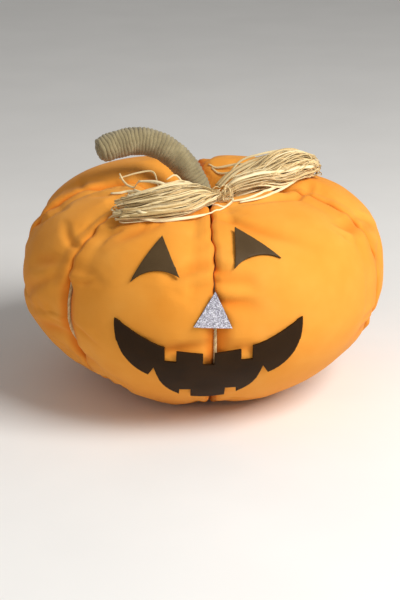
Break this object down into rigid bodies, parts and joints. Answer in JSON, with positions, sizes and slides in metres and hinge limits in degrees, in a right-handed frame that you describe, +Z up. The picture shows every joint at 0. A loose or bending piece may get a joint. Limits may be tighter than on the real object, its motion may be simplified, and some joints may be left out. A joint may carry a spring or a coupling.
{
  "type": "pumpkin cushion",
  "caption": "Stuffed pumpkin-shaped cushion with a twine-wound stem, a raffia bow and a cut-out foam face.",
  "frame": {"origin": "on the floor, under the middle of the cushion's own box", "axes": "+Z up through the crown; the face looks along -Y; +X is to the right of the face as seen from the front"},
  "size_m": [0.3557, 0.3501, 0.2584],
  "materials": {
    "orange_cotton": "plain woven cotton, matt",
    "jute_twine": "twisted jute twine",
    "wound_twine": "grey-brown jute twine, wound close",
    "dried_raffia": "dried raffia, faintly glossy",
    "brown_foam": "craft foam sheet, matt",
    "glitter_foam": "craft foam sheet with a glitter face"
  },
  "bodies": {
    "root": {"cushion": "orange_cotton", "twine_loop_front": "jute_twine", "twine_loop_right": "jute_twine", "twine_loop_left": "jute_twine", "stem": "wound_twine", "raffia_tie": "dried_raffia", "raffia_left": "dried_raffia", "raffia_right": "dried_raffia", "eye_left": "brown_foam", "eye_right": "brown_foam", "nose": "glitter_foam", "mouth": "brown_foam"}
  },
  "joints": []
}
